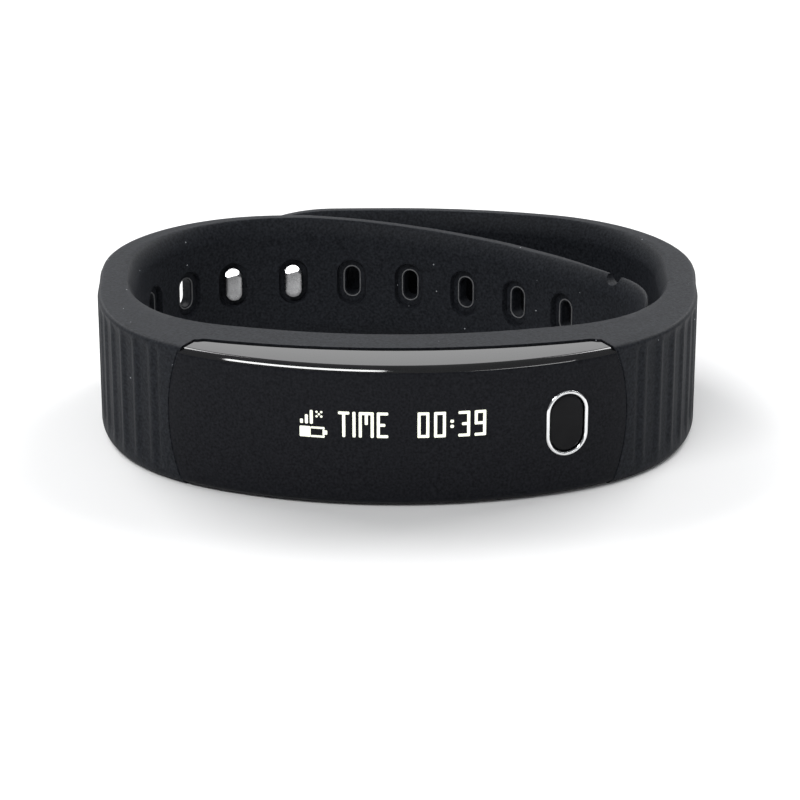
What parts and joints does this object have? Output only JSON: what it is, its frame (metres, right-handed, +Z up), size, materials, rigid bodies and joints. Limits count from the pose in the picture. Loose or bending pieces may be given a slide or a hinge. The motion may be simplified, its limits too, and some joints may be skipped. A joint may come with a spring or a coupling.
{
  "type": "fitness tracker band",
  "caption": "Wrist-worn activity tracker: soft band with a slotted strap and a pegged clasp strap, and a curved plug-in core with a dot display and a button.",
  "frame": {"origin": "centre of the closed band's footprint, on the surface that the band's lower edge stands on", "axes": "+Z up, out of the wrist opening; -Y out of the display; +X to the reader's right"},
  "size_m": [0.062, 0.0538, 0.0142],
  "materials": {
    "silicone": "fine matte silicone with a soft grain",
    "clasp_metal": "polished steel",
    "gloss_black": "piano black, polished edges",
    "smoked_window": "smoked window, satin",
    "case_black": "fine spark texture",
    "seal_grey": "moulded seal",
    "display_glass": "display glass",
    "ribbon": "polyimide film",
    "board_green": "solder mask",
    "chip_black": "moulded epoxy",
    "ceramic": "fired ceramic",
    "spring_steel": "bright pressed steel",
    "battery_foil": "laminated foil pouch",
    "contact_gold": "gold plated",
    "ring_chrome": "bright chrome",
    "pad_black": "satin black",
    "rotor_weight": "sintered tungsten weight"
  },
  "bodies": {
    "band": {"band_cradle": "silicone"},
    "tracker_core": {"front_cover": "gloss_black", "display_window": "smoked_window", "rear_case": "case_black", "case_seal": "seal_grey", "display_panel": "display_glass", "display_ribbon": "ribbon", "main_board": "board_green", "processor_chip": "chip_black", "motion_sensor": "chip_black", "chip_antenna": "ceramic", "button_dome": "spring_steel", "battery_cell": "battery_foil", "charging_contacts": "contact_gold", "button_ring": "ring_chrome", "motor_can": "spring_steel"},
    "button": {"button_pad": "pad_black"},
    "motor_weight": {"motor_rotor": "rotor_weight"},
    "clasp_strap": {"clasp_strap": "silicone"},
    "clasp_end": {"clasp_strap_end": "silicone", "clasp_plate": "clasp_metal", "clasp_pegs": "clasp_metal"},
    "slotted_strap": {"slotted_strap": "silicone", "slotted_strap_catch": "silicone", "slotted_strap_middle": "silicone"},
    "strap_tail": {"slotted_strap_tail": "silicone"}
  },
  "joints": [
    {"name": "core_pull_out", "type": "slide", "parent": "band", "child": "tracker_core", "axis": [0, -1, 0], "range_m": [0, 0.014]},
    {"name": "button_press", "type": "slide", "parent": "tracker_core", "child": "button", "axis": [-0.3833, 0.9236, 0], "range_m": [0, 0.0003], "stiffness_N_per_m": 3000, "deforming": ["button_dome"]},
    {"name": "motor_spin", "type": "hinge", "parent": "tracker_core", "child": "motor_weight", "pos_m": [0.0142, -0.0183, 0.0071], "axis": [0, 1, 0], "continuous": true},
    {"name": "clasp_strap_open", "type": "hinge", "parent": "band", "child": "clasp_strap", "pos_m": [0.029, -0.0007, 0.0071], "axis": [0, 0, -1], "range_deg": [0, 55], "stiffness_Nm_per_rad": 0.01, "deforming": ["slotted_strap_catch"]},
    {"name": "clasp_end_peel", "type": "hinge", "parent": "clasp_strap", "child": "clasp_end", "pos_m": [0.00599, 0.0254, 0.0071], "axis": [0, 0, -1], "range_deg": [0, 50], "stiffness_Nm_per_rad": 0.005, "deforming": ["slotted_strap_catch"]},
    {"name": "slotted_strap_open", "type": "hinge", "parent": "band", "child": "slotted_strap", "pos_m": [-0.029, -0.0007, 0.0071], "axis": [0, 0, 1], "range_deg": [0, 18], "stiffness_Nm_per_rad": 0.01},
    {"name": "strap_tail_flex", "type": "hinge", "parent": "slotted_strap", "child": "strap_tail", "pos_m": [0.01056, 0.0166, 0.0071], "axis": [0, 0, -1], "range_deg": [0, 15], "stiffness_Nm_per_rad": 0.003}
  ],
  "couplings": [
    {"joint": "slotted_strap_open", "follows": "clasp_strap_open", "ratio": 0.3}
  ]
}
